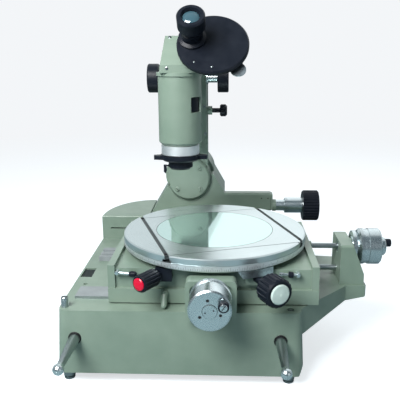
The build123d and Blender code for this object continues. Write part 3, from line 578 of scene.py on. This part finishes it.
def t_slot_strip_shade():
    """Painted shade in the two T-slots: dark strips low inside them."""
    bm = bmesh.new()
    for offset in SLOT_PLACES:
        half = slot_half_length(offset)
        low, high = offset - SLOT_HALF_WIDTH, offset + SLOT_HALF_WIDTH
        bar(bm, TURNED_STAGE, low, high, -half, half, 183.2, 188.4)
    finish_piece("t_slot_strip_shade", bm, painted_recess_shade, "stage", smooth=False)


def slot_screws():
    """A small dark screw near each end of the T-slots."""
    bm = bmesh.new()
    for offset in SLOT_PLACES:
        for end in (-1, 1):
            spot = TURNED_STAGE @ shift(offset, end * (slot_half_length(offset) - 6))
            lathe(bm, [(0, 189.9), (2.2, 189.9), (2.5, 189.6), (2.5, 188)], spot, 24)
    finish_piece("slot_screws", bm, dark, "stage")


def groove_shade():
    """The dark floors of the two fine grooves that run from one T-slot to the other."""
    bm = bmesh.new()
    for offset in GROOVE_PLACES:
        bar(bm, TURNED_STAGE, -94.9, 100.9, offset - 0.68, offset + 0.68, 189.05, 189.4)
    finish_piece("groove_shade", bm, dark, "stage", smooth=False)


t_slot_strip_shade()
slot_screws()
groove_shade()


# Screws of the column, the head and the carrier, and the marks on the tilt arm

def cover_slot_shade():
    """Painted shade in the slots of the three screw heads of the pivot cover, as dark bars."""
    bm = bmesh.new()
    for i, angle in enumerate((46, -41, 222)):
        a = math.radians(angle)
        spot = at(COVER_SCREW_CIRCLE * math.cos(a), COVER_FRONT, COVER_Z + COVER_SCREW_CIRCLE * math.sin(a))
        spin = aim(spot, FRONT) @ Matrix.Rotation(FIRST_SCREW + NEXT_SCREW * i, 4, "Z")
        bar(bm, spin, -3.7, 3.7, -0.4, 0.4, -0.4, 0.02)
    finish_piece("cover_slot_shade", bm, dark, "column", smooth=False)


def tilt_arm_marks():
    """Painted shade in two pin holes, and the dark joint line, near the end of the tilt arm."""
    bm = bmesh.new()
    for x in (134.8, 146.9):
        lathe(bm, [(0, 0.02), (1.1, 0.02), (1.1, -0.4)], aim(at(x, TILT_ARM_FRONT, 189.6), FRONT), 20)
    bar(bm, aim(at(151.9, TILT_ARM_FRONT, 175), FRONT), -0.25, 0.25, -15, 15, -0.3, 0.02)
    finish_piece("tilt_arm_marks", bm, dark, "base", smooth=False)


# The ways in which the sloping housings and the front corner of the carrier face
SLOPE = (0, -0.766, 0.643)
CORNER = (0.707, -0.707, 0)
cover_slot_shade()
slotted_screws("housing_screw_top", [(-13.2, 0.8, 477.9)], SLOPE, 2.4, "microscope")
slotted_screws("housing_screw_low", [(-15.3, -30.9, 435.3)], FRONT, 2.4, "microscope", 0.2)
slotted_screws("head_screws", [(25, -58.4, 444.6), (49.5, -63.9, 438.1)], SLOPE, 1.5, "microscope")
slotted_screws("carrier_screws", [(31, 139, 364.8), (32.6, 140.6, 317.5)], CORNER, 2.8, "microscope")
tilt_arm_marks()


# Camera, lights, backdrop and floor

CAMERA_AT = (71.04, -870.8, 467.3)
PITCH = math.radians(14.898)
YAW = math.radians(2.763)
ROLL = math.radians(-0.397)
FOCAL_LENGTH = 52.55
SENSOR_WIDTH = 36


def make_camera():
    """The view of the photograph."""
    level = Vector((math.cos(YAW), math.sin(YAW), 0))
    ahead = Vector((-math.sin(YAW), math.cos(YAW), 0))
    forward = math.cos(PITCH) * ahead - math.sin(PITCH) * Vector(UP)
    upward = level.cross(forward)
    right = math.cos(ROLL) * level + math.sin(ROLL) * upward
    top = -math.sin(ROLL) * level + math.cos(ROLL) * upward
    data = bpy.data.cameras.new("camera")
    data.lens = FOCAL_LENGTH
    data.sensor_width = SENSOR_WIDTH
    camera = bpy.data.objects.new("camera", data)
    bpy.context.scene.collection.objects.link(camera)
    camera.matrix_world = look(at(*CAMERA_AT), right, top, -forward)
    bpy.context.scene.camera = camera


def area_light(name, position, target, size, power):
    """A square light that faces a target; places and sizes in metres, power in watts."""
    data = bpy.data.lights.new(name, "AREA")
    data.energy = power
    data.size = size
    light = bpy.data.objects.new(name, data)
    light.location = position
    light.rotation_euler = (Vector(target) - Vector(position)).to_track_quat("-Z", "Y").to_euler()
    bpy.context.scene.collection.objects.link(light)


make_camera()
bpy.context.scene.view_settings.view_transform = "Standard"
area_light("key", (-0.55, -0.9, 1.1), (-0.02, -0.05, 0.26), size=0.7, power=31)
area_light("fill", (1.2, -1.3, 0.45), (0, 0, 0.22), size=1.0, power=2.5)
area_light("back", (0.45, 0.75, 1.1), (0.1, 0.1, 0.15), size=1.7, power=4)

# Colours of the surroundings, and the floor in metres
BACKDROP = (0.9, 0.92, 0.94)
ROOM_FRONT = (0.11, 0.15, 0.175)
ROOM_BACK = (0.86, 0.93, 0.95)
FLOOR_HALF = 9
FLOOR_LOW = 0.0003
FADE_NEAR = 0.6
FADE_FAR = 2.4


def glow(tree, kind, colour, strength):
    """A background or an emission of one colour."""
    node = tree.nodes.new(kind)
    node.inputs["Color"].default_value = (*colour, 1)
    node.inputs["Strength"].default_value = strength
    return node


def matt(tree, colour):
    """A plain matt surface."""
    node = tree.nodes.new("ShaderNodeBsdfDiffuse")
    node.inputs["Color"].default_value = (*colour, 1)
    return node


def mix(tree, factor, first, second):
    """The first shader where the factor is 0 and the second where it is 1."""
    node = tree.nodes.new("ShaderNodeMixShader")
    tree.links.new(factor, node.inputs[0])
    tree.links.new(first.outputs[0], node.inputs[1])
    tree.links.new(second.outputs[0], node.inputs[2])
    return node


def camera_ray(tree):
    """1 where the camera looks straight at a surface, 0 for its light and reflections."""
    return tree.nodes.new("ShaderNodeLightPath").outputs["Is Camera Ray"]


def make_world():
    """A room that is brighter behind the object than in front of it, seen as a pale backdrop."""
    world = bpy.data.worlds.new("world")
    bpy.context.scene.world = world
    world.use_nodes = True
    tree = world.node_tree
    tree.nodes.clear()
    way = tree.nodes.new("ShaderNodeTexCoord")
    axes = tree.nodes.new("ShaderNodeSeparateXYZ")
    tree.links.new(way.outputs["Generated"], axes.inputs[0])
    room = blend_colour(tree, ramp(tree, axes.outputs[1], -0.3, 0.85, 0, 1), ROOM_FRONT, ROOM_BACK)
    lit = glow(tree, "ShaderNodeBackground", ROOM_BACK, 0.9)
    tree.links.new(room, lit.inputs["Color"])
    seen = glow(tree, "ShaderNodeBackground", BACKDROP, 1.0)
    out = tree.nodes.new("ShaderNodeOutputWorld")
    tree.links.new(mix(tree, camera_ray(tree), lit, seen).outputs[0], out.inputs[0])


def make_floor():
    """A plain pale floor that fades into the backdrop away from the object."""
    mesh = bpy.data.meshes.new("floor")
    corners = [(x * FLOOR_HALF, y * FLOOR_HALF, 0) for x, y in ((-1, -1), (1, -1), (1, 1), (-1, 1))]
    mesh.from_pydata(corners, [], [(0, 1, 2, 3)])
    floor = bpy.data.objects.new("floor", mesh)
    floor.location.z = -FLOOR_LOW
    bpy.context.scene.collection.objects.link(floor)
    mat = bpy.data.materials.new("floor")
    mat.use_nodes = True
    tree = mat.node_tree
    tree.nodes.clear()
    near = tree.nodes.new("ShaderNodeAddShader")
    tree.links.new(glow(tree, "ShaderNodeEmission", BACKDROP, 0.72).outputs[0], near.inputs[0])
    tree.links.new(matt(tree, (0.6, 0.64, 0.66)).outputs[0], near.inputs[1])
    far = glow(tree, "ShaderNodeEmission", BACKDROP, 1.0)
    spot = tree.nodes.new("ShaderNodeTexCoord")
    distance = tree.nodes.new("ShaderNodeVectorMath")
    distance.operation = "LENGTH"
    tree.links.new(spot.outputs["Object"], distance.inputs[0])
    seen = mix(tree, ramp(tree, distance.outputs["Value"], FADE_NEAR, FADE_FAR, 0, 1), near, far)
    unseen = matt(tree, (0.2, 0.27, 0.29))
    out = tree.nodes.new("ShaderNodeOutputMaterial")
    tree.links.new(mix(tree, camera_ray(tree), unseen, seen).outputs[0], out.inputs[0])
    mesh.materials.append(mat)


make_world()
make_floor()
